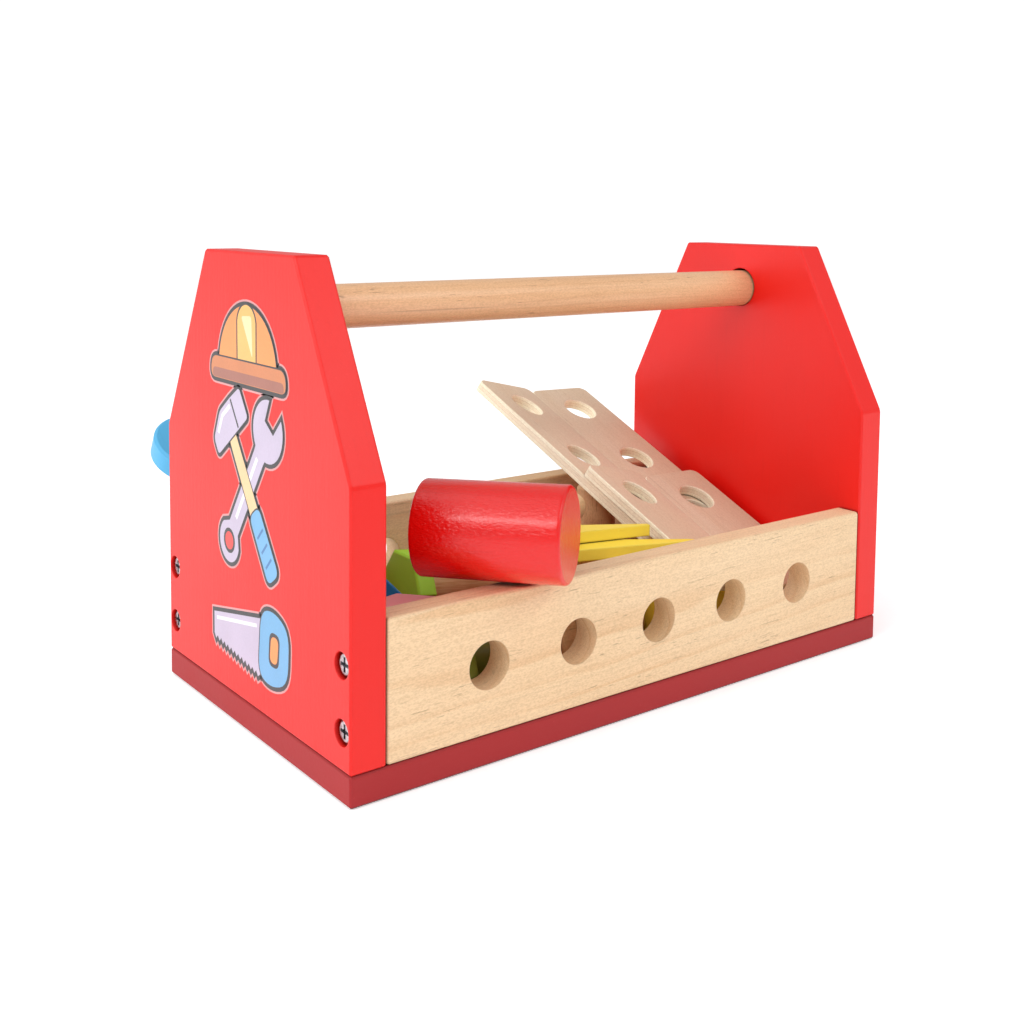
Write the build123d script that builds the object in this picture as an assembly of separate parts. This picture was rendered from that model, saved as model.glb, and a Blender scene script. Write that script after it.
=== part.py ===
from build123d import *
import math
import os

# Child's wooden carpenter toolbox: an open tray with two tapered end panels, a loose
# round carrying handle, peg holes in both long boards, and the wooden tools kept in it.
# Origin: centre of the base's underside.  X runs along the box, -Y is the front, +Z is up.
# Every size is in millimetres.

# ---- driving dimensions of the box ----
LENGTH = 240.0
WIDTH = 129.0
BASE_T = 9.5
PANEL_T = 12.0
SHOULDER_Z = 92.0
PANEL_TOP_Z = 155.5
PANEL_TOP_W = 63.0
BOARD_T = 10.0
BOARD_TOP_Z = 53.0
END_GAP = 0.25            # air between a board's end and the panel
PAINT_EDGE = 0.6          # broken edge of the painted panels
PINE_EDGE = 1.2           # rounded edge of the pine boards

# ---- handle ----
HANDLE_D = 15.0
HANDLE_Z = 137.0
SOCKET_D = 16.0
SOCKET_DEPTH = 8.0
SOCKET_RISE = 0.42        # the dowel lies low in its larger socket
HANDLE_END_GAP = 0.4

# ---- peg holes ----
PEG_HOLE_D = 15.2
PEG_COUNT = 5
PEG_PITCH = 35.7
PEG_Z = 31.3

# ---- screws ----
SCREW_HEAD_D = 6.8
SCREW_SINK = 1.0          # how far a screw's head lies below the face
SCREW_HEAD_T = 2.0
SCREW_SHANK_D = 3.5
SCREW_LENGTH = 30.0
SCREW_HOLE_D = 3.6
COUNTERBORE_D = 8.0
COUNTERBORE_DEPTH = 3.2
SIDE_SCREW_Y = 59.5
SIDE_SCREW_ZS = (20.9, 40.5)
BASE_SCREW_YS = (-44.0, 0.0, 44.0)

# ---- emblem stickers ----
STICKER_T = 0.2
HAT_Z = 117.0
HAT_R = 20.5
HAT_BRIM = (54.0, 8.0)
TOOLS_Z = 80.0
TOOLS_LEAN = 35.0
SAW_Z = 33.0

# ---- loose tools ----
CLEAR = 0.3               # air between pieces that lie on each other
HEAD_R = 15.5
HEAD_L = 48.0
HEAD_EDGE = 1.1
HEAD_CENTRE = Vector(-61.3, -53.6, 69.0)
HEAD_YAW = -52.8
HEAD_PITCH = 1.3
HAFT_R = 6.0
HAFT_REACH = 108.0        # from the head's axis to the centre of the haft's round end
HAFT_SEAT = 9.0           # how far the haft passes beyond the head's axis
HAFT_DIP = 9.2

STRIP_W = 34.8
STRIP_T = 4.5
STRIP_PITCH = 39.5
STRIP_END = 17.5
STRIP_CORNER_R = 4.0
SLOPE_YAW = -85.8         # the four strips slope down this way ...
SLOPE_DIP = 25.5          # ... at this angle
LEFT_SLOPE_AT = (47.3, 67.7, 83.0)
LEFT_SLOPE_ROLL = 14.4
RIGHT_SLOPE_AT = (81.3, 71.5, 77.3)
RIGHT_SLOPE_ROLL = 2.6

PLY_T = 4.2
PLIERS_PIVOT = (-15.0, -25.0)
PLIERS_LOW_Z = 44.3
PLIERS_BOSS_R = 6.5
PLIERS_GRIP = (44.0, 8.5)
LOWER_GRIP_ANGLE = 157.0
UPPER_GRIP_ANGLE = 168.0
PIN_D = 5.0
PIN_PLAY = 0.05

SPANNER_T = 9.0
SPANNER_X = -98.5
SPANNER_TILT = 28.0
SPANNER_JAW_R = 17.5
SPANNER_REACH = 40.4      # along the slope, from the back board's inner edge to the jaw's centre
SPANNER_TAIL = 83.0       # along the slope, from that edge down to the tail's centre
SPANNER_TAIL_R = 8.4
SPANNER_BAR_W = 15.0
SPANNER_MOUTH_W = 14.0

HEX_AF = 25.0
HEX_R = HEX_AF / 2 / math.cos(math.pi / 6)
NUT_T = 6.8
BOLT_HEAD_T = 8.0
BOLT_D = 15.0
BOLT_L = 36.0
RED_BOLT_L = 27.7
BOLT_DROOP = 7.9          # a bolt on its side rests on its head's edge and its shank's end

# ---- where the loose pieces lie: place, then turn about X, Y and Z ----
GREEN_BOLT_AT = Location((-38, 39.6, 23.6), (0, 90 + BOLT_DROOP, 0))
LYING_GREEN_BOLT_AT = Location((-75.4, -39.6, 23.6), (0, 90 + BOLT_DROOP, 0))
YELLOW_BOLT_AT = Location((15.2, -39.6, 23.6), (0, 90 + BOLT_DROOP, 0))
LYING_BOLT_AT = Location((-30.3, -37, 22.3), (0, 90, 0))
BLUE_NUT_AT = Location((-65, 20.5, 24.3), (90, 0, 0)) * Location((0, 0, 0), (0, 0, 15))
RED_BOLT_AT = Location((-85, -39, 45.5), (180, 0, 0)) * Location((0, 0, 0), (0, 0, -11))
NATURAL_NUT_AT = Location((-4, -35, 37.2))
YELLOW_NUT_AT = Location((-7.6, -37.5, 30.1), (0, 0, 8))
LEFT_HIDDEN_BOLT_AT = Location((52, 28, 9.8))
RIGHT_HIDDEN_BOLT_AT = Location((85, 40, 9.8))
FLAT_DOWN = Location((0, 0, 0), (0, 0, 30))

INNER_X = LENGTH / 2 - PANEL_T
OUTER_Y = WIDTH / 2
BOARD_Y = OUTER_Y - BOARD_T / 2


def save(name, shape):
    """Write one node to its own STEP file."""
    os.makedirs("parts", exist_ok=True)
    export_step(shape, "parts/" + name + ".step")


def cylinder_between(start, end, radius):
    """A plain round bar from one point to another."""
    start = Vector(*start)
    end = Vector(*end)
    axis = end - start
    return Plane(origin=start, z_dir=axis) * Cylinder(
        radius, axis.length, align=(Align.CENTER, Align.CENTER, Align.MIN)
    )


# ------------------------------------------------------------------ fasteners
def screw_places():
    """Head centre and inward direction of each side screw, on the left and the right."""
    places = {"left": [], "right": []}
    for side, sign in (("left", -1), ("right", 1)):
        for y in (-SIDE_SCREW_Y, SIDE_SCREW_Y):
            for z in SIDE_SCREW_ZS:
                head = Vector(sign * (LENGTH / 2 - SCREW_SINK), y, z)
                places[side].append((head, Vector(-sign, 0, 0)))
    return places


def base_screw_places():
    """Screws driven up through the base into the two end panels."""
    return [
        (Vector(sign * (LENGTH / 2 - PANEL_T / 2), y, SCREW_SINK), Vector(0, 0, 1))
        for sign in (-1, 1)
        for y in BASE_SCREW_YS
    ]


def wood_screw(head, direction):
    """Pan head with a cross recess, plain shank and a cone point."""
    plane = Plane(origin=head, z_dir=direction)
    head_disc = Cylinder(
        SCREW_HEAD_D / 2, SCREW_HEAD_T, align=(Align.CENTER, Align.CENTER, Align.MIN)
    )
    head_disc = fillet(head_disc.edges().sort_by(Axis.Z)[0], 0.7)
    for width, length in ((1.1, 4.4), (4.4, 1.1)):
        head_disc -= Pos(0, 0, 0.6) * Box(width, length, 1.3)
    shank_l = SCREW_LENGTH - SCREW_HEAD_T - 3.0
    shank = Pos(0, 0, SCREW_HEAD_T) * Cylinder(
        SCREW_SHANK_D / 2, shank_l, align=(Align.CENTER, Align.CENTER, Align.MIN)
    )
    point = Pos(0, 0, SCREW_HEAD_T + shank_l) * Cone(
        SCREW_SHANK_D / 2, 0.3, 3.0, align=(Align.CENTER, Align.CENTER, Align.MIN)
    )
    return plane * (head_disc + shank + point)


def screw_hole(head, direction, counterbore=True):
    """The space a screw takes: a counterbore for its head and a pilot hole."""
    outside = head - direction * 2.0
    hole = cylinder_between(outside, head + direction * (SCREW_LENGTH + 0.6), SCREW_HOLE_D / 2)
    if counterbore:
        hole += cylinder_between(
            outside, head + direction * (COUNTERBORE_DEPTH - SCREW_SINK), COUNTERBORE_D / 2
        )
    return hole


# ------------------------------------------------------------------ the box
def base_board():
    board = Pos(0, 0, BASE_T / 2) * Box(LENGTH, WIDTH, BASE_T)
    board = chamfer(board.edges(), PAINT_EDGE)
    for head, direction in base_screw_places():
        board -= screw_hole(head, direction)
    return board


def end_panel(sign, screws):
    """A tapered panel with a blind socket for the handle and counterbored screws."""
    half_w = OUTER_Y
    half_top = PANEL_TOP_W / 2
    outline = Polyline(
        (-half_w, BASE_T), (half_w, BASE_T), (half_w, SHOULDER_Z),
        (half_top, PANEL_TOP_Z), (-half_top, PANEL_TOP_Z), (-half_w, SHOULDER_Z),
        close=True,
    )
    panel = extrude(Plane.YZ * make_face(outline), PANEL_T / 2, both=True)
    panel = chamfer(panel.edges(), PAINT_EDGE)
    panel = Pos(sign * (LENGTH / 2 - PANEL_T / 2), 0, 0) * panel
    socket_z = HANDLE_Z + SOCKET_RISE
    panel -= cylinder_between(
        (sign * (INNER_X - 1), 0, socket_z),
        (sign * (INNER_X + SOCKET_DEPTH), 0, socket_z),
        SOCKET_D / 2,
    )
    for head, direction in screws:
        panel -= screw_hole(head, direction)
    for head, direction in base_screw_places():
        if head.X * sign > 0:
            panel -= screw_hole(head, direction, counterbore=False)
    return panel


def long_board(sign, screws):
    """A pine side with a row of peg holes and pilot holes in its end grain."""
    height = BOARD_TOP_Z - BASE_T
    board = Box(2 * (INNER_X - END_GAP), BOARD_T, height)
    board = fillet(board.edges(), PINE_EDGE)
    board = Pos(0, sign * BOARD_Y, BASE_T + height / 2) * board
    for index in range(PEG_COUNT):
        x = (index - (PEG_COUNT - 1) / 2) * PEG_PITCH
        board -= cylinder_between(
            (x, sign * BOARD_Y - BOARD_T, PEG_Z), (x, sign * BOARD_Y + BOARD_T, PEG_Z), PEG_HOLE_D / 2
        )
    for head, direction in screws:
        if head.Y * sign > 0:
            board -= screw_hole(head, direction, counterbore=False)
    return board


def handle_dowel():
    reach = INNER_X + SOCKET_DEPTH - HANDLE_END_GAP
    dowel = cylinder_between((-reach, 0, HANDLE_Z), (reach, 0, HANDLE_Z), HANDLE_D / 2)
    ends = dowel.edges().filter_by(GeomType.CIRCLE)
    return chamfer(ends, 0.8)


def emblem(sign):
    """Printed sticker in three die-cut pieces: a hard hat, crossed tools and a saw."""
    dome = Circle(HAT_R) & Pos(0, HAT_R / 2) * Rectangle(3 * HAT_R, HAT_R)
    hat = Pos(0, HAT_Z) * (dome + SlotOverall(*HAT_BRIM))
    hammer = RectangleRounded(9, 62, 4) + Pos(0, 24) * RectangleRounded(27, 13, 4)
    spanner = RectangleRounded(9, 50, 4) + Pos(0, 25) * Circle(10) - Pos(0, 32) * Rectangle(7, 12)
    tools = Pos(0, TOOLS_Z) * (Rot(0, 0, TOOLS_LEAN) * hammer + Rot(0, 0, -TOOLS_LEAN) * spanner)
    blade = make_face(Polyline((-27, -7), (10, -11), (10, 9), (-27, 1), close=True))
    saw = Pos(0, SAW_Z) * (blade + Pos(17, 0) * RectangleRounded(22, 26, 8))
    plane = Plane(origin=(sign * LENGTH / 2, 0, 0), x_dir=(0, sign, 0), z_dir=(sign, 0, 0))
    return Compound([extrude(plane * outline, STICKER_T) for outline in (hat, tools, saw)])


# ------------------------------------------------------------------ hammer
def hammer_axes():
    """Unit vectors along the head and along the grip, which leaves it at right angles."""
    yaw = math.radians(HEAD_YAW)
    pitch = math.radians(HEAD_PITCH)
    along = Vector(
        math.cos(yaw) * math.cos(pitch), math.sin(yaw) * math.cos(pitch), math.sin(pitch)
    )
    level = Vector(0, 0, 1).cross(along).normalized()
    up = along.cross(level)
    dip = math.radians(HAFT_DIP)
    grip = level * math.cos(dip) - up * math.sin(dip)
    return along, grip


def hammer_head():
    along, grip = hammer_axes()
    head = Cylinder(HEAD_R, HEAD_L)
    head = fillet(head.edges().filter_by(GeomType.CIRCLE), HEAD_EDGE)
    head = Plane(origin=HEAD_CENTRE, z_dir=along) * head
    head -= cylinder_between(
        HEAD_CENTRE - grip * HAFT_SEAT, HEAD_CENTRE + grip * 2 * HEAD_R, HAFT_R
    )
    return head


def hammer_handle():
    _, grip = hammer_axes()
    bar = Cylinder(HAFT_R, HAFT_REACH + HAFT_SEAT, align=(Align.CENTER, Align.CENTER, Align.MIN))
    bar += Pos(0, 0, HAFT_REACH + HAFT_SEAT) * Sphere(HAFT_R)
    return Plane(origin=HEAD_CENTRE - grip * HAFT_SEAT, z_dir=grip) * bar


# ------------------------------------------------------------------ strips
def slope_plane(origin, roll):
    """Plane lying on a strip: x across it, y up the slope, z out of its upper face."""
    yaw = math.radians(SLOPE_YAW)
    dip = math.radians(SLOPE_DIP)
    down = Vector(math.cos(yaw) * math.cos(dip), math.sin(yaw) * math.cos(dip), -math.sin(dip))
    level = Vector(0, 0, 1).cross(down).normalized()
    upright = down.cross(level)
    tilt = math.radians(roll)
    normal = upright * math.cos(tilt) + level * math.sin(tilt)
    across = normal.cross(down)
    return Plane(origin=origin, x_dir=across, z_dir=normal)


def perforated_strip(holes, plane, across, top_hole, lift):
    """A plywood strip; top_hole is how far down the slope its first hole lies."""
    length = STRIP_PITCH * (holes - 1) + 2 * STRIP_END
    strip = extrude(RectangleRounded(STRIP_W, length, STRIP_CORNER_R), STRIP_T)
    first = length / 2 - STRIP_END
    for index in range(holes):
        strip -= Pos(0, first - index * STRIP_PITCH, 0) * Cylinder(PEG_HOLE_D / 2, 4 * STRIP_T)
    strip = chamfer(strip.edges().group_by(Axis.Z)[-1], 0.4)
    return plane * Pos(across, -top_hole - first, lift - STRIP_T) * strip


# ------------------------------------------------------------------ pliers
def pliers_half(jaw, z, grip_angle):
    """One flat half: a pointed jaw, a round boss at the pivot and a straight grip."""
    half = Pos(*PLIERS_PIVOT) * Circle(PLIERS_BOSS_R)
    half += make_face(Polyline(*jaw, close=True))
    grip = Pos(PLIERS_GRIP[0] / 2 - PLIERS_GRIP[1] / 2, 0) * RectangleRounded(*PLIERS_GRIP, 4)
    half += Pos(*PLIERS_PIVOT) * Rot(0, 0, grip_angle) * grip
    plate = extrude(Pos(0, 0, z) * half, PLY_T)
    hole = Cylinder(PIN_D / 2 + PIN_PLAY, 4 * PLY_T)
    return plate - Pos(PLIERS_PIVOT[0], PLIERS_PIVOT[1], z) * hole


def pliers_lower():
    jaw = [
        (-13, -19.5), (11.8, -25.3), (36.6, -42.2), (40, -45.3),
        (38.5, -46.5), (14, -37), (-10, -29),
    ]
    return pliers_half(jaw, PLIERS_LOW_Z, LOWER_GRIP_ANGLE)


def pliers_upper():
    jaw = [
        (-15, -19), (-8, -21.8), (-2, -18.5), (5.5, -16.4),
        (27.1, -29.6), (27.1, -31.3), (-1.1, -24.2), (-14, -31),
    ]
    return pliers_half(jaw, PLIERS_LOW_Z + PLY_T + CLEAR, UPPER_GRIP_ANGLE)


def pliers_pin():
    height = 2 * PLY_T + CLEAR
    x, y = PLIERS_PIVOT
    return Pos(x, y, PLIERS_LOW_Z + height / 2) * Cylinder(PIN_D / 2, height)


# ------------------------------------------------------------------ spanner
def blue_spanner():
    """A flat wooden open-ended spanner that leans out over the back board."""
    tilt = math.radians(SPANNER_TILT)
    normal = Vector(0, -math.sin(tilt), math.cos(tilt))
    inner_edge = Vector(SPANNER_X, OUTER_Y - BOARD_T, BOARD_TOP_Z)
    plane = Plane(origin=inner_edge + normal * CLEAR, x_dir=(1, 0, 0), z_dir=normal)
    jaw = Pos(0, SPANNER_REACH) * Circle(SPANNER_JAW_R)
    mouth = Pos(0, SPANNER_JAW_R) * Rectangle(SPANNER_MOUTH_W, 2 * SPANNER_JAW_R)
    mouth = Pos(0, SPANNER_REACH) * (mouth + Circle(SPANNER_MOUTH_W / 2))
    bar_l = SPANNER_REACH + SPANNER_TAIL
    bar = Pos(0, SPANNER_REACH - bar_l / 2) * Rectangle(SPANNER_BAR_W, bar_l)
    tail = Pos(0, -SPANNER_TAIL) * Circle(SPANNER_TAIL_R)
    body = extrude(plane * (jaw + bar + tail - mouth), SPANNER_T)
    return chamfer(body.edges().filter_by(lambda edge: edge.length > 40), 1.0)


# ------------------------------------------------------------------ nuts and bolts
def hex_nut():
    """A thick wooden nut, lying flat with its underside at z = 0."""
    nut = extrude(RegularPolygon(HEX_R, 6), NUT_T)
    nut = chamfer(nut.edges().group_by(Axis.Z)[-1] + nut.edges().group_by(Axis.Z)[0], 0.6)
    return nut - Cylinder(PEG_HOLE_D / 2, 4 * NUT_T)


def wooden_bolt(shank_l=BOLT_L):
    """A hexagonal head at z = 0 with a round shank standing on it."""
    head = extrude(RegularPolygon(HEX_R, 6), BOLT_HEAD_T)
    head = chamfer(head.edges().group_by(Axis.Z)[0], 0.8)
    shank = Pos(0, 0, BOLT_HEAD_T) * Cylinder(
        BOLT_D / 2, shank_l, align=(Align.CENTER, Align.CENTER, Align.MIN)
    )
    shank = chamfer(shank.edges().sort_by(Axis.Z)[-1], 1.2)
    return head + shank


def main():
    side_screws = screw_places()
    save("base_board", base_board())
    for side, sign in (("left", -1), ("right", 1)):
        save(side + "_end_panel", end_panel(sign, side_screws[side]))
        save(side + "_panel_screws", Compound([wood_screw(*place) for place in side_screws[side]]))
        save(side + "_emblem", emblem(sign))
    all_screws = side_screws["left"] + side_screws["right"]
    save("front_board", long_board(-1, all_screws))
    save("back_board", long_board(1, all_screws))
    save("base_screws", Compound([wood_screw(*place) for place in base_screw_places()]))
    save("handle_dowel", handle_dowel())

    save("hammer_head", hammer_head())
    save("hammer_handle", hammer_handle())

    left_slope = slope_plane(LEFT_SLOPE_AT, LEFT_SLOPE_ROLL)
    right_slope = slope_plane(RIGHT_SLOPE_AT, RIGHT_SLOPE_ROLL)
    upper = STRIP_T + CLEAR
    save("strip_long_left", perforated_strip(3, left_slope, -0.8, 0.0, 0.0))
    save("strip_long_right", perforated_strip(3, right_slope, 0.0, -0.5, 0.0))
    save("strip_short_left", perforated_strip(2, left_slope, -2.6, 73.2, upper))
    save("strip_short_right", perforated_strip(2, right_slope, -0.4, 75.2, upper))

    save("pliers_lower_half", pliers_lower())
    save("pliers_upper_half", pliers_upper())
    save("pliers_pin", pliers_pin())
    save("blue_spanner", blue_spanner())

    save("green_bolt", GREEN_BOLT_AT * FLAT_DOWN * wooden_bolt())
    save("lying_green_bolt", LYING_GREEN_BOLT_AT * FLAT_DOWN * wooden_bolt())
    save("yellow_bolt", YELLOW_BOLT_AT * FLAT_DOWN * wooden_bolt())
    save("lying_bolt", LYING_BOLT_AT * FLAT_DOWN * wooden_bolt())
    save("red_bolt", RED_BOLT_AT * wooden_bolt(RED_BOLT_L))
    save("blue_nut", BLUE_NUT_AT * hex_nut())
    save("natural_nut", NATURAL_NUT_AT * hex_nut())
    save("yellow_nut", YELLOW_NUT_AT * hex_nut())
    save("bolt_under_left_strip", LEFT_HIDDEN_BOLT_AT * wooden_bolt())
    save("bolt_under_right_strip", RIGHT_HIDDEN_BOLT_AT * wooden_bolt())


main()
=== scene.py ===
import math

import bmesh
import bpy
from mathutils import Matrix, Vector
from mathutils.geometry import tessellate_polygon


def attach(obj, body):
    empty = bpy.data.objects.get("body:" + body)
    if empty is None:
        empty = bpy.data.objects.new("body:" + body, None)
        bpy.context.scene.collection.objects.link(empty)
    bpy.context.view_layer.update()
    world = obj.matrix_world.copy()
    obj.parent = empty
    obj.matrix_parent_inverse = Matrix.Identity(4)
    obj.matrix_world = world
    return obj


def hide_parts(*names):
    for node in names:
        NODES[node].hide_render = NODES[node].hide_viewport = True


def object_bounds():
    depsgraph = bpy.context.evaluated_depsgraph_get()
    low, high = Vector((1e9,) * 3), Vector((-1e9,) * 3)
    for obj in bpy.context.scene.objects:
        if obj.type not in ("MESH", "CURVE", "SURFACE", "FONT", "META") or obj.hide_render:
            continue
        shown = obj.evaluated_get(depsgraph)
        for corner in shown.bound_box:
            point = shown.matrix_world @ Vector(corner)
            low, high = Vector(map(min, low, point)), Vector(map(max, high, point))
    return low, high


# A child's wooden carpenter toolbox with its wooden tools, on a pale studio floor.
# Metres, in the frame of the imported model: X along the box, -Y its front, +Z up.

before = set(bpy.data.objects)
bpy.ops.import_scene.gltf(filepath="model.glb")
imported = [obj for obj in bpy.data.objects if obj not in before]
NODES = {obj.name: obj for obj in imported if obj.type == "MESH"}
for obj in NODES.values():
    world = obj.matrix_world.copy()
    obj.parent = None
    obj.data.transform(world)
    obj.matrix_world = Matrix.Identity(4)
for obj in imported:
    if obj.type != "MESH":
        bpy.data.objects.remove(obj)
CAD_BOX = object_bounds()
MM = 0.001
UP = Vector((0, 0, 1))

# ---- pieces whose material depends on where they lie ----
ALONG_BOX = (1, 0, 0)
UPRIGHT = (0, 0, 1)
BOLT_AXIS = (0.9905, 0, -0.1374)   # a bolt on its side droops towards its shank's end
SPANNER_AXIS = (0, 0.88, 0.47)
STRIP_FACES = (0, -0.4, 0.9)       # roughly where the strips' upper faces look
GREEN_SHANK_AT = -32.8 * MM        # along BOLT_AXIS: where the green bolt's head ends
PLY_SHEET = 1.5 * MM               # thickness of one veneer

# ---- surface relief ----
WOOD_EDGE = 0.5 * MM               # radius of the softened edges
PAINT_EDGE = 0.7 * MM
WOOD_RELIEF = 0.18 * MM            # height of the bumps
PAINT_RELIEF = 0.22 * MM
STEEL_RELIEF = 0.06 * MM
FILM_RELIEF = 0.1 * MM
FLOOR_RELIEF = 0.2 * MM
CREASE_SHADE_REACH = 1.3 * MM              # how near another surface puts painted shade on this one
# how near another surface puts painted shade in the screws' recesses
RECESS_SHADE_REACH = 0.9 * MM
FILM_MOTTLE = 0.11                 # how much darker the printed ink gets in patches
# colour of the painted shade in creases and where pieces meet
CREASE_SHADE_COLOUR = (0.02, 0.006, 0.004, 1)

# ---- studio ----
SURROUNDINGS = 0.55                # how strongly the white surroundings light the object
BACKDROP = 1.1                     # how bright they look to the camera
SUN_STRENGTH = 0.7
SUN_WIDTH = math.radians(60)
SUN_FROM = (-0.5, 0.3, 0.8)
FLOOR_RADIUS = 4.0
FLOOR_DROP = 0.2 * MM              # below the base, so that the two never share a plane
FLOOR_GLOW = 0.34                  # the floor's own light, which keeps it white
SOFTBOXES = (                      # name, place, target, size, watts
    ("key_softbox", (-0.97, -0.35, 0.79), (-0.06, -0.05, 0.07), (0.7, 0.2), 4.2),
    ("front_softbox", (0.45, -0.85, 0.9), (0, 0, 0.08), (0.8, 0.5), 4.2),
    ("left_softbox", (-0.95, 0.55, 0.30), (-0.1, 0, 0.08), (0.8, 0.6), 2.5),
)

# ---- camera: the photograph's viewing angle ----
CAMERA_AT = (-0.29089, -0.35894, 0.17018)
CAMERA_AZIMUTH = math.radians(-37.584)
CAMERA_HEIGHT = math.radians(4.364)
CAMERA_ROLL = math.radians(0.574)
CAMERA_LENS = 43.55
CAMERA_SENSOR = 36.0
CAMERA_SHIFT = -0.205


# ------------------------------------------------------------------ colours
def srgb(red, green, blue):
    """A screen colour, 0 to 255, as the linear colour that shaders use."""
    values = []
    for part in (red, green, blue):
        part = part / 255
        values.append(part / 12.92 if part <= 0.04045 else ((part + 0.055) / 1.055) ** 2.4)
    return (*values, 1.0)


RED = (232, 20, 10)
DARK_RED = (162, 24, 28)
GLOSS_RED = (226, 8, 4)
YELLOW = (255, 232, 84)
GREEN = (168, 232, 62)
# painted shade: a darker copy of the green paint, for the green bolt lying in the tray's shade
SHADED_GREEN = (120, 132, 44)
BLUE = (80, 176, 224)
NUT_BLUE = (38, 132, 196)
# painted sheen: red paint lightened to pink, as it looks in a grazing light
SHEENED_RED = (252, 164, 168)
PINE_LIGHT = (233, 207, 171)
PINE_DARK = (214, 172, 127)
HAFT_LIGHT = (238, 203, 158)
BEECH_LIGHT = (234, 196, 150)
BEECH_DARK = (204, 150, 104)
DOWEL_LIGHT = (226, 182, 140)
DOWEL_DARK = (196, 144, 102)
PLY_LIGHT = (252, 247, 225)
PLY_DARK = (242, 228, 196)
GLUE_LINE = (176, 128, 88)
CROSS_VENEER = (205, 158, 112)
STEEL_DARK = (160, 159, 162)
STEEL_LIGHT = (214, 214, 218)
# colour of the painted shade in the screws' recesses
STEEL_RECESS_SHADE = (70, 66, 66)
FLOOR_DARK = (246, 246, 247)
FLOOR_LIGHT = (252, 252, 252)


# ------------------------------------------------------------------ node graphs
class Graph:
    """A material's node graph, built with short calls."""

    def __init__(self, name):
        self.material = bpy.data.materials.new(name)
        self.material.use_nodes = True
        self.tree = self.material.node_tree
        self.shader = self.tree.nodes["Principled BSDF"]

    def node(self, kind, inputs=None, **settings):
        made = self.tree.nodes.new(kind)
        for key, value in settings.items():
            setattr(made, key, value)
        for key, value in (inputs or {}).items():
            self.feed(made.inputs[key], value)
        return made

    def feed(self, socket, value):
        if isinstance(value, bpy.types.NodeSocket):
            self.tree.links.new(value, socket)
        else:
            socket.default_value = value

    def math(self, operation, first, second=0.0, third=0.0, clamp=False):
        made = self.node("ShaderNodeMath", {0: first, 1: second, 2: third}, operation=operation)
        made.use_clamp = clamp
        return made.outputs[0]

    def along(self, axis):
        """Object coordinates turned so that the grain runs along their X."""
        turn = Vector(axis).normalized().rotation_difference(Vector((1, 0, 0))).to_euler()
        place = self.node("ShaderNodeTexCoord").outputs["Object"]
        return self.node("ShaderNodeMapping", {"Vector": place, "Rotation": turn}).outputs[0]

    def stretch(self, vector, scale, shift=(0, 0, 0)):
        made = self.node("ShaderNodeMapping", {"Vector": vector, "Scale": scale, "Location": shift})
        return made.outputs[0]

    def noise(self, vector, detail=3.0, roughness=0.5):
        """Noise whose cells are one unit of an already stretched vector."""
        made = self.node("ShaderNodeTexNoise", {
            "Vector": vector, "Scale": 1.0, "Detail": detail, "Roughness": roughness,
        })
        return made.outputs["Fac"]

    def ramp(self, value, stops):
        """A smooth ramp through (place, grey level or colour) stops."""
        made = self.node("ShaderNodeValToRGB", {"Fac": value})
        made.color_ramp.interpolation = "EASE"
        points = made.color_ramp.elements
        while len(points) < len(stops):
            points.new(0.5)
        for point, (place, level) in zip(points, stops):
            point.position = place
            point.color = level if isinstance(level, tuple) else (level, level, level, 1)
        return made.outputs["Color"]

    def mix(self, amount, first, second, blend="MIX"):
        made = self.node("ShaderNodeMix", data_type="RGBA", blend_type=blend)
        self.feed(made.inputs[0], amount)
        self.feed(made.inputs[6], first)
        self.feed(made.inputs[7], second)
        return made.outputs[2]

    def bump(self, height, distance, strength=1.0, normal=None):
        inputs = {"Height": height, "Distance": distance, "Strength": strength}
        if normal is not None:
            inputs["Normal"] = normal
        return self.node("ShaderNodeBump", inputs).outputs[0]

    def edges(self, radius):
        """Rounded normals near sharp edges, and a mask that is 1 on those edges."""
        soft = self.node("ShaderNodeBevel", {"Radius": radius}, samples=6).outputs[0]
        sharp = self.node("ShaderNodeNewGeometry").outputs["True Normal"]
        dot = self.node("ShaderNodeVectorMath", {0: soft, 1: sharp}, operation="DOT_PRODUCT")
        mask = self.ramp(dot.outputs["Value"], [(0.86, 1.0), (0.995, 0.0)])
        return soft, mask

    def painted_crease_shade(self, colour, depth=0.75):
        """Painted shade: the colour darkened near other surfaces, in creases, recesses and where pieces
        meet.
        """
        occlusion_shade = self.node("ShaderNodeAmbientOcclusion", {"Distance": CREASE_SHADE_REACH}, samples=4)
        amount = self.ramp(occlusion_shade.outputs["AO"], [(0.35, depth), (0.9, 0.0)])
        return self.mix(amount, colour, CREASE_SHADE_COLOUR)

    def finish(self, colour, roughness, normal, **constants):
        self.feed(self.shader.inputs["Base Color"], colour)
        self.feed(self.shader.inputs["Roughness"], roughness)
        self.feed(self.shader.inputs["Normal"], normal)
        for key, value in constants.items():
            self.shader.inputs[key.replace("_", " ")].default_value = value
        return self.material


# ------------------------------------------------------------------ materials
def growth_rings(g, grain, pith, pitch):
    """The dark late wood of rings round a pith line beside the piece, fading here and there."""
    wander = g.noise(g.stretch(grain, (5, 40, 40)), detail=2.0)
    slow = g.noise(g.stretch(grain, (14, 120, 120), (3, 1, 2)), detail=3.0)
    flat = g.stretch(grain, (0, 1, 1), (0, pith[0], pith[1]))
    radius = g.node("ShaderNodeVectorMath", {0: flat}, operation="LENGTH").outputs["Value"]
    radius = g.math("MULTIPLY_ADD", wander, 0.014, radius)
    radius = g.math("MULTIPLY_ADD", slow, 0.0016, radius)
    phase = g.math("FRACT", g.math("DIVIDE", radius, pitch))
    late = g.ramp(phase, [(0.0, 0.1), (0.62, 0.35), (0.9, 1.0), (1.0, 0.1)])
    patches = g.noise(g.stretch(grain, (9, 50, 50), (7, 5, 3)), detail=2.0)
    patches = g.ramp(patches, [(0.35, 0.25), (0.7, 1.0)])
    return g.math("MULTIPLY", late, patches)


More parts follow.
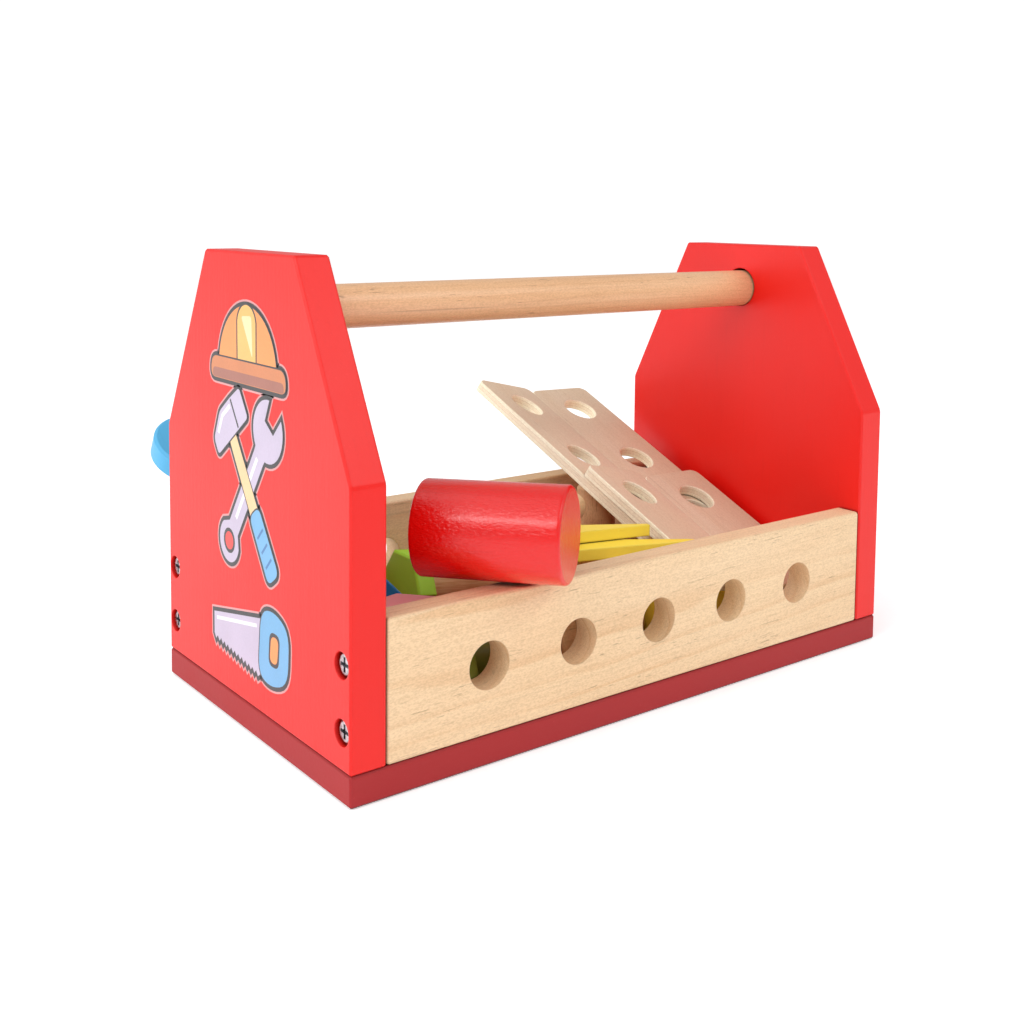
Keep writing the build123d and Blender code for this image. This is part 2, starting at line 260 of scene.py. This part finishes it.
def fleck_marks(g, grain):
    """Short flecks in scattered zones, and fainter long lines."""
    short = g.noise(g.stretch(grain, (150, 2100, 2100), (2, 2, 2)), detail=1.0)
    zones = g.noise(g.stretch(grain, (30, 150, 150), (4, 4, 8)), detail=1.0)
    short = g.ramp(short, [(0.67, 0.0), (0.73, 1.0)])
    zones = g.ramp(zones, [(0.5, 0.0), (0.64, 1.0)])
    lines = g.noise(g.stretch(grain, (6, 520, 520), (5, 2, 6)), detail=1.0)
    lines = g.math("MULTIPLY", g.ramp(lines, [(0.69, 0.0), (0.77, 1.0)]), 0.4)
    return g.math("MAXIMUM", g.math("MULTIPLY", short, zones), lines)


def veneers(g, colour, normal, top):
    """The colour with glue lines and browner cross veneers, counted down from the upper face."""
    depth = g.node("ShaderNodeSeparateXYZ", {0: g.along(normal)}).outputs[0]
    depth = g.math("DIVIDE", g.math("SUBTRACT", depth, top), -PLY_SHEET)
    glue = g.ramp(g.math("PINGPONG", depth, 0.5), [(0.0, 1.0), (0.09, 0.0)])
    colour = g.mix(g.math("MULTIPLY", glue, 0.45), colour, srgb(*GLUE_LINE))
    cross = g.math("GREATER_THAN", g.math("PINGPONG", g.math("SUBTRACT", depth, 0.5), 1.0), 0.5)
    return g.mix(g.math("MULTIPLY", cross, 0.16), colour, srgb(*CROSS_VENEER))


def raw_wood(name, light, dark, axis, pith=(0.03, -0.05), pitch=3.0 * MM, figure=0.6, flecks=0.5,
             roughness=0.55, coat=0.0, ply=None):
    """Bare wood with rings, fibres, fine speckle, warm patches and flecks.

    For plywood, ply holds the upper face's normal and its distance from the origin.
    """
    g = Graph(name)
    grain = g.along(axis)
    late = g.math("MULTIPLY", growth_rings(g, grain, pith, pitch), figure)
    colour = g.mix(late, srgb(*light), srgb(*dark))

    fibres = g.noise(g.stretch(grain, (55, 1500, 1500)), detail=4.0, roughness=0.65)
    specks = g.noise(g.stretch(grain, (1100, 2300, 2300), (6, 3, 1)), detail=2.0)
    cloud = g.noise(g.stretch(grain, (8, 30, 30), (1, 9, 4)), detail=2.0)
    for value, stops in (
        (fibres, [(0.3, (0.95, 0.93, 0.90, 1)), (0.7, (1.03, 1.03, 1.03, 1))]),
        (specks, [(0.3, (0.90, 0.88, 0.86, 1)), (0.65, (1.04, 1.04, 1.04, 1))]),
        (cloud, [(0.3, (1.0, 0.955, 0.90, 1)), (0.72, (1.03, 1.02, 1.01, 1))]),
    ):
        colour = g.mix(1.0, colour, g.ramp(value, stops), "MULTIPLY")

    marks = g.math("MULTIPLY", fleck_marks(g, grain), flecks)
    colour = g.mix(marks, colour, srgb(*[0.66 * part for part in dark]))
    if ply:
        colour = veneers(g, colour, *ply)

    soft, edge = g.edges(WOOD_EDGE)
    # painted highlight: the softened edges lightened
    colour = g.mix(g.math("MULTIPLY", edge, 0.3), colour, srgb(*light))
    height = g.math("MULTIPLY_ADD", fibres, 0.6, g.math("MULTIPLY", marks, -0.8))
    height = g.math("MULTIPLY_ADD", late, 0.25, height)
    rough = g.math("MULTIPLY_ADD", fibres, 0.16, roughness - 0.08)
    # painted shade: darker in creases and where pieces meet
    colour = g.painted_crease_shade(colour, depth=0.5)
    return g.finish(colour, rough, g.bump(height, WOOD_RELIEF, 0.55, soft),
                    Coat_Weight=coat, Coat_Roughness=0.28, IOR=1.45)


def paint(name, colour, axis=UPRIGHT, roughness=0.36, coat=0.0, grain=0.35, peel=0.25, wear_and_edge_highlight=0.25,
          ripple=(620, 760, 760), bare_from=None):
    """Brushed wood paint: faint grain showing through, orange peel, thin paler edges that are part wear
    and part painted highlight.

    Past bare_from, measured along the axis, the wood is left bare.
    """
    g = Graph(name)
    place = g.along(axis)
    cloud = g.noise(g.stretch(place, (22, 30, 30)), detail=3.0)
    shade = g.ramp(cloud, [(0.25, (0.965, 0.95, 0.95, 1)), (0.75, (1.0, 1.0, 1.0, 1))])
    base = g.mix(1.0, srgb(*colour), shade, "MULTIPLY")
    fibres = g.noise(g.stretch(place, (45, 620, 620)), detail=4.0, roughness=0.6)
    lines = g.ramp(fibres, [(0.30, 1.0), (0.44, 0.0)])
    base = g.mix(g.math("MULTIPLY", lines, 0.10 * grain), base, srgb(*[0.55 * part for part in colour]))
    soft, edge = g.edges(PAINT_EDGE)
    chips = g.noise(g.stretch(place, (420, 420, 420)), detail=3.0)
    # paler edges: part wear, part painted edge highlight
    edge_wear_and_highlight = g.math("MULTIPLY", edge, g.ramp(chips, [(0.42, 0.35), (0.62, 1.0)]))
    pale = [min(255, 40 + 0.95 * part) for part in colour]
    base = g.mix(g.math("MULTIPLY", edge_wear_and_highlight, wear_and_edge_highlight), base, srgb(*pale))
    specks = g.noise(g.stretch(place, (1300, 1300, 1300)), detail=1.0)
    dust = g.math("MULTIPLY", g.ramp(specks, [(0.73, 0.0), (0.78, 1.0)]), 0.25)
    base = g.mix(dust, base, srgb(*pale))
    peel_noise = g.noise(g.stretch(place, ripple), detail=2.0, roughness=0.55)
    height = g.math("MULTIPLY", fibres, grain)
    height = g.math("MULTIPLY_ADD", peel_noise, peel, height)
    rough = g.math("MULTIPLY_ADD", cloud, 0.10, roughness - 0.05)
    rough = g.math("MULTIPLY_ADD", peel_noise, 0.05, rough)
    if bare_from is not None:
        depth = g.node("ShaderNodeSeparateXYZ", {0: place}).outputs[0]
        bare = g.mix(g.ramp(fibres, [(0.3, 0.0), (0.7, 1.0)]), srgb(*BEECH_DARK), srgb(*BEECH_LIGHT))
        base = g.mix(g.math("GREATER_THAN", depth, bare_from), base, bare)
    # painted shade: darker in creases and where pieces meet
    base = g.painted_crease_shade(base)
    return g.finish(base, rough, g.bump(height, PAINT_RELIEF, 0.5, soft),
                    Coat_Weight=coat, Coat_Roughness=0.2, IOR=1.42)


def steel(name):
    """Zinc-plated screw steel with turning marks, smudges and painted shade darkening its recesses."""
    g = Graph(name)
    place = g.node("ShaderNodeTexCoord").outputs["Object"]
    smudge = g.noise(g.stretch(place, (900, 900, 900)), detail=3.0)
    colour = g.ramp(smudge, [(0.3, srgb(*STEEL_DARK)), (0.7, srgb(*STEEL_LIGHT))])
    # painted shade in the recesses
    occlusion_shade = g.node("ShaderNodeAmbientOcclusion", {"Distance": RECESS_SHADE_REACH}, samples=6)
    amount = g.ramp(occlusion_shade.outputs["AO"], [(0.35, 0.5), (0.8, 0.0)])
    colour = g.mix(amount, colour, srgb(*STEEL_RECESS_SHADE))
    scratch = g.noise(g.stretch(place, (400, 5200, 900)), detail=2.0)
    rough = g.math("MULTIPLY_ADD", scratch, 0.22, 0.16)
    return g.finish(colour, rough, g.bump(scratch, STEEL_RELIEF, 0.5), Metallic=1.0)


def film(name, colour):
    """Printed sticker film: ink with a fine screen mottle under a satin skin."""
    g = Graph(name)
    place = g.node("ShaderNodeTexCoord").outputs["Object"]
    screen = g.noise(g.stretch(place, (1500, 1500, 1500)), detail=2.0)
    wash = g.noise(g.stretch(place, (60, 60, 60)), detail=2.0)
    low = 1 - FILM_MOTTLE
    mottle = g.math("MULTIPLY_ADD", screen, 0.4, g.math("MULTIPLY", wash, 0.6))
    tone = g.ramp(mottle, [(0.3, (low, low, low, 1)), (0.7, (1.0, 1.0, 1.0, 1))])
    base = g.mix(1.0, srgb(*colour), tone, "MULTIPLY")
    ripple = g.noise(g.stretch(place, (240, 240, 240)), detail=2.0)
    rough = g.math("MULTIPLY_ADD", ripple, 0.08, 0.30)
    return g.finish(base, rough, g.bump(ripple, FILM_RELIEF, 0.35), IOR=1.47)


def dress(node, material):
    """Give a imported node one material."""
    mesh = NODES[node].data
    mesh.materials.clear()
    mesh.materials.append(material)


# ------------------------------------------------------------------ where the pieces point
def face_normal(node, towards):
    """Normal of the node's largest flat face that looks roughly towards a direction."""
    best, found = 0.0, Vector(towards)
    sums = {}
    for polygon in NODES[node].data.polygons:
        key = tuple(round(part, 2) for part in polygon.normal)
        if polygon.normal.dot(Vector(towards)) > 0.5:
            total, _ = sums.get(key, (0.0, None))
            sums[key] = (total + polygon.area, polygon.normal.copy())
    for total, normal in sums.values():
        if total > best:
            best, found = total, normal
    return found


def longest_axis(node):
    """Direction of the longest straight extent, from the spread of the node's surface."""
    mesh = NODES[node].data
    centre = Vector((0, 0, 0))
    area = 0.0
    for polygon in mesh.polygons:
        centre += polygon.center * polygon.area
        area += polygon.area
    centre /= area
    spread = Matrix(((0, 0, 0), (0, 0, 0), (0, 0, 0)))
    for polygon in mesh.polygons:
        offset = polygon.center - centre
        for row in range(3):
            for column in range(3):
                spread[row][column] += offset[row] * offset[column] * polygon.area
    axis = Vector((0.61, 0.53, 0.59))
    for _ in range(60):
        axis = (spread @ axis).normalized()
    return axis


def dress_box():
    """Painted end panels and base, pine side boards and the beech carrying handle."""
    red = paint("red_paint", RED)
    for node in ("left_end_panel", "right_end_panel"):
        dress(node, red)
    dress("base_board", paint("dark_red_paint", DARK_RED, ALONG_BOX, roughness=0.5, wear_and_edge_highlight=0.15))
    dress("front_board", raw_wood("front_pine", PINE_LIGHT, PINE_DARK, (1, 0, 0.02),
                                  pith=(0.10, -0.045), pitch=4.6 * MM))
    dress("back_board", raw_wood("back_pine", PINE_LIGHT, PINE_DARK, (1, 0, -0.015),
                                 pith=(-0.02, 0.03), pitch=5.2 * MM))
    dress("handle_dowel", raw_wood("dowel_beech", DOWEL_LIGHT, DOWEL_DARK, (1, 0.01, 0),
                                   pith=(0.012, -0.11), pitch=2.4 * MM, figure=0.45, flecks=0.8,
                                   roughness=0.42, coat=0.25))


def dress_tools():
    """Hammer, plywood strips, pliers and spanner."""
    dress("hammer_handle", raw_wood("haft_beech", HAFT_LIGHT, BEECH_DARK, longest_axis("hammer_handle"),
                                    figure=0.4, flecks=0.8, roughness=0.42, coat=0.2))
    # the hammer head's pale rim is part wear, part painted highlight
    dress("hammer_head", paint("gloss_red", GLOSS_RED, longest_axis("hammer_head"), roughness=0.2,
                               coat=0.4, grain=0.8, peel=2.4, wear_and_edge_highlight=0.7, ripple=(650, 1400, 1400)))
    strips = ("strip_long_left", "strip_long_right", "strip_short_left", "strip_short_right")
    for count, node in enumerate(strips):
        normal = face_normal(node, STRIP_FACES)
        top = max(vertex.co.dot(normal) for vertex in NODES[node].data.vertices)
        dress(node, raw_wood(node + "_ply", PLY_LIGHT, PLY_DARK, longest_axis(node),
                             pith=(0.05 + 0.013 * count, 0.02), pitch=7 * MM, figure=0.35, flecks=0.5,
                             roughness=0.6, ply=(normal, top)))
    yellow = paint("yellow_paint", YELLOW, ALONG_BOX, roughness=0.42, grain=0.5)
    # two of the loose parts share the pliers' paint
    for node in ("pliers_lower_half", "pliers_upper_half", "yellow_nut", "yellow_bolt"):
        dress(node, yellow)
    dress("pliers_pin", raw_wood("pin_beech", BEECH_LIGHT, BEECH_DARK, UPRIGHT))
    dress("blue_spanner", paint("blue_paint", BLUE, SPANNER_AXIS, roughness=0.4, grain=0.4))


def dress_loose_parts():
    """The other bolts and nuts in the tray."""
    dress("blue_nut", paint("blue_nut_paint", NUT_BLUE, ALONG_BOX))
    dress("green_bolt", paint("green_paint", GREEN, BOLT_AXIS, roughness=0.4, grain=0.5,
                              bare_from=GREEN_SHANK_AT))
    # painted shade: this green bolt gets the darker copy of the green paint
    dress("lying_green_bolt", paint("shaded_green_paint", SHADED_GREEN, ALONG_BOX))
    # painted sheen: the red bolt is painted pink, as red paint looks in a grazing light
    dress("red_bolt", paint("sheened_red_paint", SHEENED_RED, ALONG_BOX, roughness=0.45))
    bare = ("natural_nut", "lying_bolt", "bolt_under_left_strip", "bolt_under_right_strip")
    for count, node in enumerate(bare):
        axis = ALONG_BOX if node == "lying_bolt" else UPRIGHT
        dress(node, raw_wood(node + "_beech", BEECH_LIGHT, BEECH_DARK, axis, figure=0.5, flecks=0.7,
                             pith=(0.02 + 0.011 * count, 0.014), pitch=2.6 * MM))


def dress_screws():
    plated = steel("plated_steel")
    for node in ("left_panel_screws", "right_panel_screws", "base_screws"):
        dress(node, plated)


# ------------------------------------------------------------------ printed emblem
FACE_X = 120 * MM          # the end panels' outer faces
LAYER = 0.045 * MM         # one printed layer
CUT_EDGE = 2.0             # how far the pale cut edge, the outline and the inner rim reach, in mm
OUTLINE = 1.35
RIM = 0.55
SHARP_CORNER = 0.45        # least cosine of half a corner's turn: sharper corners grow no further
CUT_LEVEL = 1.0            # heights in layers: the cut edge, the outline, then each ink over the last
OUTLINE_LEVEL = 1.8
INK_LEVEL = 2.4
INK_STEP = 0.1
RIM_SINK = 0.05            # how far a rim stays below its own ink
HAT_Z, TOOLS_Z, SAW_Z = 117.0, 80.0, 33.0   # heights on the panel, in mm
HAT_R = 20.5
TOOLS_LEAN = 35
TEETH = 13


def arc(centre, radius, start, end, steps=18):
    """Points round a circle from one angle to another, in degrees."""
    points = []
    for index in range(steps + 1):
        angle = math.radians(start + (end - start) * index / steps)
        points.append((centre[0] + radius * math.cos(angle), centre[1] + radius * math.sin(angle)))
    return points


def rounded(corners, radius, steps=5):
    """A closed outline through the corners, each rounded by a quadratic curve."""
    points = []
    for index, corner in enumerate(corners):
        corner = Vector(corner)
        before = Vector(corners[index - 1])
        after = Vector(corners[(index + 1) % len(corners)])
        first = corner + (before - corner).normalized() * min(radius, (before - corner).length * 0.48)
        last = corner + (after - corner).normalized() * min(radius, (after - corner).length * 0.48)
        for step in range(steps + 1):
            t = step / steps
            points.append(tuple(first * (1 - t) ** 2 + corner * 2 * t * (1 - t) + last * t * t))
    return points


def leaning(shapes, degrees):
    """Shapes drawn upright about the origin, turned and moved up to where the tools cross."""
    c = math.cos(math.radians(degrees))
    s = math.sin(math.radians(degrees))
    moved = []
    for outline, ink, main in shapes:
        moved.append(([(c * x - s * y, TOOLS_Z + s * x + c * y) for x, y in outline], ink, main))
    return moved


def clockwise(points):
    area = sum(a[0] * b[1] - b[0] * a[1] for a, b in zip(points, points[1:] + points[:1]))
    return area < 0


def grown(points, width):
    """The outline moved outwards by a width, with blunt corners kept short."""
    kept = []
    for point in points:
        if not kept or (Vector(point) - Vector(kept[-1])).length > 1e-4:
            kept.append(point)
    if (Vector(kept[0]) - Vector(kept[-1])).length < 1e-4:
        kept.pop()
    side = -1 if clockwise(kept) else 1
    out = []
    for index, point in enumerate(kept):
        before = Vector(point) - Vector(kept[index - 1])
        after = Vector(kept[(index + 1) % len(kept)]) - Vector(point)
        normals = [Vector((edge.y, -edge.x)).normalized() * side for edge in (before, after)]
        both = normals[0] + normals[1]
        both = both.normalized() if both.length > 1e-6 else normals[0]
        reach = width / max(SHARP_CORNER, both.dot(normals[0]))
        out.append((point[0] + both.x * reach, point[1] + both.y * reach))
    return out


def sheet(name, points, level, material, sign):
    """One thin printed layer on an end panel; points are millimetres across and up the panel."""
    mesh = bpy.data.meshes.new(name)
    shape = bmesh.new()
    if clockwise(points):
        points = points[::-1]
    rings = []
    for x in (FACE_X, FACE_X + level * LAYER):
        rings.append([shape.verts.new((sign * x, sign * y * MM, z * MM)) for y, z in points])
    for corners in tessellate_polygon([[Vector((*point, 0)) for point in points]]):
        shape.faces.new([rings[1][corner] for corner in corners])
        shape.faces.new([rings[0][corner] for corner in corners[::-1]])
    for index in range(len(points)):
        nxt = (index + 1) % len(points)
        shape.faces.new((rings[0][index], rings[0][nxt], rings[1][nxt], rings[1][index]))
    bmesh.ops.triangulate(shape, faces=shape.faces[:])
    bmesh.ops.recalc_face_normals(shape, faces=shape.faces[:])
    shape.to_mesh(mesh)
    shape.free()
    mesh.materials.append(material)
    piece = bpy.data.objects.new(name, mesh)
    bpy.context.scene.collection.objects.link(piece)
    return piece


def stroke(path, width):
    """The outline of an open line with the given width."""
    left, right = [], []
    for index, point in enumerate(path):
        before = Vector(path[max(index - 1, 0)])
        after = Vector(path[min(index + 1, len(path) - 1)])
        run = (after - before).normalized()
        across = Vector((-run.y, run.x)) * width / 2
        left.append((point[0] + across.x, point[1] + across.y))
        right.append((point[0] - across.x, point[1] - across.y))
    return left + right[::-1]


# The emblem's parts are lists of (outline, ink, is a main shape), from the back of the print
# to its front. Points are millimetres across and up the panel.
def saw():
    """Pale blade with teeth below, blue handle with an orange grip slot."""
    teeth = []
    for index in range(TEETH):
        x = -26 + 34 * index / TEETH
        y = SAW_Z - 7 - 4 * (x + 26) / 36
        teeth += [(x, y), (x + 1.3, y - 1.6)]
    blade = teeth + [(9, SAW_Z - 10.5), (10, SAW_Z + 7.5), (-26, SAW_Z + 0.5)]
    handle = rounded([(7, SAW_Z - 11), (16, SAW_Z - 13), (27, SAW_Z - 9), (28, SAW_Z + 8),
                      (18, SAW_Z + 12), (9, SAW_Z + 10)], 6)
    rim = rounded([(14, SAW_Z - 6), (21, SAW_Z - 6), (22, SAW_Z + 5), (15, SAW_Z + 5)], 3)
    slot = rounded([(15, SAW_Z - 4.8), (20, SAW_Z - 4.8), (21, SAW_Z + 3.8), (16, SAW_Z + 3.8)], 2.4)
    return [
        (blade, "lilac", True),
        (stroke([(-24, SAW_Z - 1.2), (6, SAW_Z + 4.2)], 1.2), "white", False),
        (handle, "blue", True),
        (rim, "grey", False),
        (slot, "orange", False),
    ]


def spanner():
    """Open jaw above, ring with a red middle below, leaning one way."""
    jaw = arc((0, 25), 10, -68, 62, 14) + [(3.4, 26.5), (-3.4, 26.5)] + arc((0, 25), 10, 118, 248, 14)
    ring = arc((0, -24), 7.2, 160, 380, 20)
    body = jaw + [(-3.6, 14), (-3.6, -18)] + ring + [(3.6, -18), (3.6, 14)]
    upright = [
        (body, "lilac", True),
        (stroke([(-0.6, -14), (-0.6, 13)], 1.6), "white", False),
        (arc((0, -24), 4.2, 0, 350, 20), "grey", False),
        (arc((0, -24), 3.0, 0, 350, 20), "red", False),
    ]
    return leaning(upright, -TOOLS_LEAN)


def hammer():
    """Tan haft with a ribbed blue grip and a pale head, leaning the other way."""
    haft = rounded([(-3.2, -30), (3.2, -30), (2.6, 20), (-2.6, 20)], 3)
    grip = rounded([(-4.2, -31), (4.2, -31), (3.9, -8), (-3.9, -8)], 3)
    ribs = [(stroke([(-2.6, y), (2.6, y + 1)], 0.9), "deep_blue", False) for y in (-26, -21, -16)]
    head = rounded([(-13, 18.5), (13.5, 18.5), (13.5, 29.4), (5, 30), (-4, 30), (-13, 24.5)], 1.6)
    upright = [
        (haft, "tan", True),
        (grip, "blue", True),
        *ribs,
        (head, "lilac", True),
        (stroke([(-9, 24.6), (-3, 27.8), (4, 27.8)], 1.5), "white", False),
        (stroke([(5.6, 19), (5.6, 29.4)], 0.9), "grey", False),
    ]
    return leaning(upright, TOOLS_LEAN)


def hard_hat():
    """Orange dome, pale middle rib, brown brim."""
    dome = arc((0, HAT_Z + 1), HAT_R, 0, 180, 28) + [(-HAT_R, HAT_Z), (HAT_R, HAT_Z)]
    rib = [(-6.4, HAT_Z)] + arc((0, HAT_Z + 15.2), 6.6, 170, 10, 14) + [(6.4, HAT_Z)]
    glint = rounded([(-3.8, HAT_Z + 18), (3.6, HAT_Z + 18.5), (4.2, HAT_Z + 5)], 1.5)
    brim = rounded([(-27, HAT_Z - 3.6), (27, HAT_Z - 3.6), (26, HAT_Z + 3.6), (-26, HAT_Z + 3.6)], 3.6)
    shade = rounded([(-25.6, HAT_Z - 3.4), (25.6, HAT_Z - 3.4),
                     (25, HAT_Z - 0.2), (-25, HAT_Z - 0.2)], 1.6)
    return [
        (dome, "orange", True),
        (grown(rib, 0.8), "grey", False),
        (rib, "honey", False),
        (glint, "cream", False),
        (brim, "amber", True),
        (shade, "brown", False),
    ]


INKS = {
    "lilac": (196, 184, 206),
    "white": (240, 234, 244),
    "blue": (112, 172, 216),
    "deep_blue": (72, 120, 176),
    "orange": (240, 150, 84),
    "honey": (242, 184, 104),
    "cream": (250, 218, 168),
    "amber": (206, 128, 82),
    "brown": (164, 104, 88),
    "tan": (240, 200, 150),
    "grey": (56, 54, 56),
    "red": (238, 70, 64),
    "edge": (214, 150, 150),
}


def emblems():
    """The printed sticker of each end panel, as one mesh of thin layers, each over the last."""
    inks = {name: film("print_" + name, colour) for name, colour in INKS.items()}
    shapes = saw() + spanner() + hammer() + hard_hat()
    for side, sign in (("left", -1), ("right", 1)):
        pieces = []
        for outline, ink, main in shapes:
            if main:
                pieces.append(sheet("cut", grown(outline, CUT_EDGE), CUT_LEVEL, inks["edge"], sign))
                pieces.append(sheet("line", grown(outline, OUTLINE), OUTLINE_LEVEL, inks["grey"], sign))
        level = INK_LEVEL
        for outline, ink, main in shapes:
            level += INK_STEP
            if main:
                pieces.append(sheet("rim", grown(outline, RIM), level - RIM_SINK, inks["grey"], sign))
            pieces.append(sheet("ink", outline, level, inks[ink], sign))
        with bpy.context.temp_override(active_object=pieces[0], selected_editable_objects=pieces):
            bpy.ops.object.join()
        whole = pieces[0]
        whole.name = side + "_printed_emblem"
        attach(whole, "box")
        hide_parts(side + "_emblem")


# ------------------------------------------------------------------ studio
def area_light(name, place, target, size, power):
    data = bpy.data.lights.new(name, "AREA")
    data.shape = "RECTANGLE"
    data.size, data.size_y = size
    data.energy = power
    lamp = bpy.data.objects.new(name, data)
    lamp.location = place
    lamp.rotation_euler = (Vector(target) - Vector(place)).to_track_quat("-Z", "Y").to_euler()
    bpy.context.scene.collection.objects.link(lamp)


def floor():
    g = Graph("studio_floor")
    place = g.node("ShaderNodeTexCoord").outputs["Object"]
    fine = g.noise(g.stretch(place, (90, 90, 90)), detail=3.0)
    colour = g.ramp(fine, [(0.2, srgb(*FLOOR_DARK)), (0.8, srgb(*FLOOR_LIGHT))])
    material = g.finish(colour, 0.75, g.bump(fine, FLOOR_RELIEF, 0.1),
                        Emission_Color=(1, 1, 1, 1), Emission_Strength=FLOOR_GLOW)
    mesh = bpy.data.meshes.new("floor")
    shape = bmesh.new()
    bmesh.ops.create_circle(shape, cap_ends=True, cap_tris=False, segments=96, radius=FLOOR_RADIUS)
    shape.to_mesh(mesh)
    shape.free()
    mesh.materials.append(material)
    piece = bpy.data.objects.new("floor", mesh)
    piece.location = (0, 0, CAD_BOX[0][2] - FLOOR_DROP)
    bpy.context.scene.collection.objects.link(piece)


def studio():
    """White surroundings, a broad sun for an even floor, three soft lights and the floor."""
    scene = bpy.context.scene
    world = bpy.data.worlds.new("studio")
    world.use_nodes = True
    nodes, links = world.node_tree.nodes, world.node_tree.links
    seen = nodes.new("ShaderNodeLightPath").outputs["Is Camera Ray"]
    strength = nodes.new("ShaderNodeMapRange")
    strength.inputs["To Min"].default_value = SURROUNDINGS
    strength.inputs["To Max"].default_value = BACKDROP
    links.new(seen, strength.inputs["Value"])
    background = nodes["Background"]
    background.inputs["Color"].default_value = (1, 1, 1, 1)
    links.new(strength.outputs["Result"], background.inputs["Strength"])
    scene.world = world
    scene.view_settings.view_transform = "Standard"
    scene.view_settings.look = "None"
    sun = bpy.data.lights.new("sun", "SUN")
    sun.energy = SUN_STRENGTH
    sun.angle = SUN_WIDTH
    lamp = bpy.data.objects.new("sun", sun)
    lamp.rotation_euler = Vector(SUN_FROM).to_track_quat("Z", "Y").to_euler()
    scene.collection.objects.link(lamp)
    for softbox in SOFTBOXES:
        area_light(*softbox)
    floor()


def camera():
    """Stands at the photograph's place: left of the front, just above the handle."""
    level = math.cos(CAMERA_HEIGHT)
    back = Vector((
        math.sin(CAMERA_AZIMUTH) * level, -math.cos(CAMERA_AZIMUTH) * level, math.sin(CAMERA_HEIGHT),
    ))
    right = (-back).cross(UP).normalized()
    up = right.cross(-back)
    turn_right = right * math.cos(CAMERA_ROLL) + up * math.sin(CAMERA_ROLL)
    turn_up = up * math.cos(CAMERA_ROLL) - right * math.sin(CAMERA_ROLL)
    turn = Matrix((turn_right, turn_up, back)).transposed().to_4x4()
    data = bpy.data.cameras.new("camera")
    data.sensor_width = CAMERA_SENSOR
    data.lens = CAMERA_LENS
    data.shift_y = CAMERA_SHIFT
    data.clip_start = 0.01
    made = bpy.data.objects.new("camera", data)
    made.matrix_world = Matrix.Translation(CAMERA_AT) @ turn
    bpy.context.scene.collection.objects.link(made)
    bpy.context.scene.camera = made


dress_box()
dress_tools()
dress_loose_parts()
dress_screws()
emblems()
studio()
camera()
